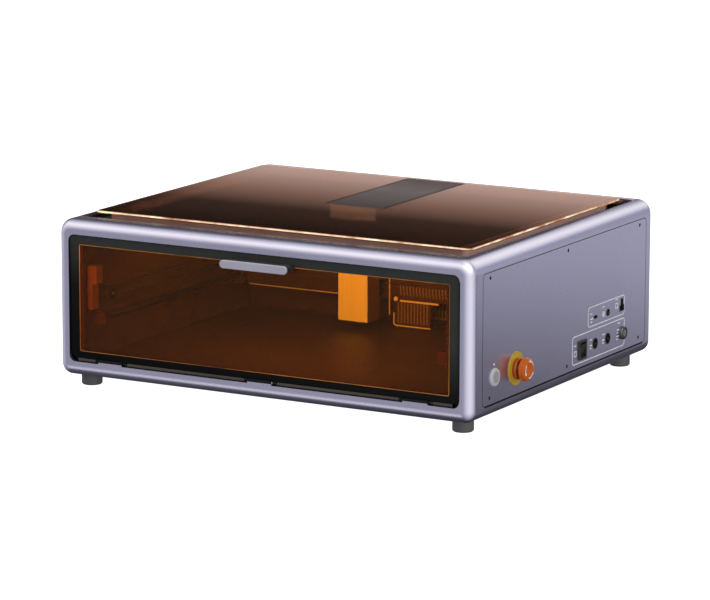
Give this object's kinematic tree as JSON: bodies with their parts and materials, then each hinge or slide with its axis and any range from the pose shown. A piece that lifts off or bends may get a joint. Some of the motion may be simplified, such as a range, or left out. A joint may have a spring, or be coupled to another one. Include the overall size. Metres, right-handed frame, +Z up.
{
  "type": "desktop laser cutter",
  "caption": "Enclosed desktop laser cutter: rounded metal casing, amber fold-down front door and hinged lid, belt-driven gantry with laser head, rear extractor, side controls.",
  "frame": {"origin": "middle of the footprint's bounding box, on the surface the feet stand on", "axes": "+X towards the panel with the controls and sockets, +Y towards the back, +Z up; the door faces -Y"},
  "size_m": [0.586, 0.534, 0.213],
  "materials": {
    "silver_paint": "satin metallic powder coat",
    "black_gloss": "gloss",
    "black_matte": "matt",
    "black_metal": "matt powder coat",
    "amber_acrylic": "polished",
    "brown_plastic": "gloss",
    "grey_film": "gloss",
    "bed_steel": "satin",
    "bright_steel": "ground",
    "dark_steel": "black oxide",
    "aluminium": "anodised",
    "head_metal": "fine brushed",
    "black_rubber": "matt",
    "belt_rubber": "ribbed",
    "light_white": "diffusing",
    "ring_white": "satin",
    "lamp_grey": "satin",
    "safety_yellow": "satin",
    "stop_orange": "gloss",
    "chrome_metal": "polished",
    "board_green": "solder mask",
    "brass": "turned"
  },
  "bodies": {
    "chassis": {"body_shell": "silver_paint", "base_plate": "black_metal", "rubber_feet": "black_rubber", "case_screws": "dark_steel", "right_side_panel": "silver_paint", "left_side_panel": "silver_paint", "rear_panel": "silver_paint", "top_deck": "black_metal", "chamber_liners": "black_metal", "front_frame": "black_metal", "opening_seals": "black_rubber", "door_sill": "brown_plastic", "work_bed": "bed_steel", "light_bar": "light_white", "pivot_pins": "bright_steel", "door_switch": "brown_plastic", "lid_hinge_brackets": "black_metal", "guide_rods": "bright_steel", "rail_mounts": "aluminium", "side_belts": "belt_rubber", "side_motor": "dark_steel", "exhaust_grille": "black_metal", "exhaust_fan_frame": "black_matte", "exhaust_duct": "black_matte", "power_ring": "ring_white", "estop_plate": "safety_yellow", "estop_body": "stop_orange", "rocker_frame": "black_matte", "key_lock": "chrome_metal", "panel_sockets": "black_matte", "control_board": "board_green"},
    "door": {"door_frame": "black_gloss", "door_window": "amber_acrylic", "handle_base": "black_gloss", "handle_cap": "silver_paint"},
    "lid": {"lid_plate": "amber_acrylic", "lid_rim": "brown_plastic", "camera_band": "grey_film", "camera_housing": "black_matte", "lid_hinge_knuckles": "brown_plastic"},
    "gantry": {"gantry_beam": "aluminium", "gantry_blocks": "aluminium", "cross_rail": "bright_steel", "cross_belt": "belt_rubber", "cross_motor": "dark_steel"},
    "head": {"head_carriage": "aluminium", "laser_core": "aluminium", "head_cover": "head_metal", "laser_nozzle": "brass"},
    "head_fan": {"head_fan_rotor": "black_matte"},
    "extractor_rotor": {"exhaust_rotor": "black_matte"},
    "drive_shaft": {"drive_pulleys": "aluminium"},
    "idlers": {"idler_pulleys": "aluminium"},
    "cross_drive": {"cross_pulley": "aluminium"},
    "cross_return": {"cross_idler": "aluminium"},
    "power_push": {"power_button": "lamp_grey"},
    "stop_plunger": {"estop_stem": "dark_steel"},
    "stop_head": {"estop_cap": "stop_orange"},
    "rocker": {"rocker_paddle": "black_gloss"},
    "lock_barrel": {"key_barrel": "chrome_metal"}
  },
  "joints": [
    {"name": "lid_hinge", "type": "hinge", "parent": "chassis", "child": "lid", "pos_m": [-0.009, 0.20305, 0.205], "axis": [-1, 0, 0], "range_deg": [0, 75]},
    {"name": "door_hinge", "type": "hinge", "parent": "chassis", "child": "door", "pos_m": [-0.009, -0.24515, 0.0358], "axis": [1, 0, 0], "range_deg": [0, 90]},
    {"name": "gantry_slide", "type": "slide", "parent": "chassis", "child": "gantry", "axis": [0, -1, 0], "range_m": [0, 0.285]},
    {"name": "head_slide", "type": "slide", "parent": "gantry", "child": "head", "axis": [1, 0, 0], "range_m": [-0.143, 0.236]},
    {"name": "drive_shaft_turn", "type": "hinge", "parent": "chassis", "child": "drive_shaft", "pos_m": [-0.009, 0.14605, 0.112], "axis": [1, 0, 0], "range_deg": [-2400, 20]},
    {"name": "idler_turn", "type": "hinge", "parent": "chassis", "child": "idlers", "pos_m": [-0.009, -0.19995, 0.112], "axis": [1, 0, 0], "range_deg": [-2400, 20]},
    {"name": "cross_drive_turn", "type": "hinge", "parent": "gantry", "child": "cross_drive", "pos_m": [0.196, 0.12405, 0.1075], "axis": [0, 0, 1], "range_deg": [-1250, 2000]},
    {"name": "cross_return_turn", "type": "hinge", "parent": "gantry", "child": "cross_return", "pos_m": [-0.222, 0.12405, 0.1075], "axis": [0, 0, 1], "range_deg": [-1250, 2000]},
    {"name": "extractor_spin", "type": "hinge", "parent": "chassis", "child": "extractor_rotor", "pos_m": [0.013, 0.17005, 0.092], "axis": [0, 1, 0], "continuous": true},
    {"name": "head_fan_spin", "type": "hinge", "parent": "head", "child": "head_fan", "pos_m": [-0.0607, 0.08655, 0.101], "axis": [0, 0, 1], "continuous": true},
    {"name": "power_press", "type": "slide", "parent": "chassis", "child": "power_push", "axis": [-1, 0, 0], "range_m": [0, 0.0015], "stiffness_N_per_m": 800},
    {"name": "stop_press", "type": "slide", "parent": "chassis", "child": "stop_plunger", "axis": [-1, 0, 0], "range_m": [0, 0.0035]},
    {"name": "stop_twist", "type": "hinge", "parent": "stop_plunger", "child": "stop_head", "pos_m": [0.285, -0.13545, 0.0623], "axis": [1, 0, 0], "range_deg": [0, 30], "stiffness_Nm_per_rad": 0.02},
    {"name": "rocker_tilt", "type": "hinge", "parent": "chassis", "child": "rocker", "pos_m": [0.272, 0.03985, 0.0525], "axis": [0, -1, 0], "range_deg": [0, 18]},
    {"name": "key_turn", "type": "hinge", "parent": "chassis", "child": "lock_barrel", "pos_m": [0.275, 0.15255, 0.0532], "axis": [1, 0, 0], "range_deg": [0, 90]}
  ],
  "couplings": [
    {"joint": "drive_shaft_turn", "follows": "gantry_slide", "rad_per_m": -143.37},
    {"joint": "idler_turn", "follows": "gantry_slide", "rad_per_m": -143.37},
    {"joint": "cross_drive_turn", "follows": "head_slide", "rad_per_m": 143.37},
    {"joint": "cross_return_turn", "follows": "head_slide", "rad_per_m": 143.37}
  ]
}
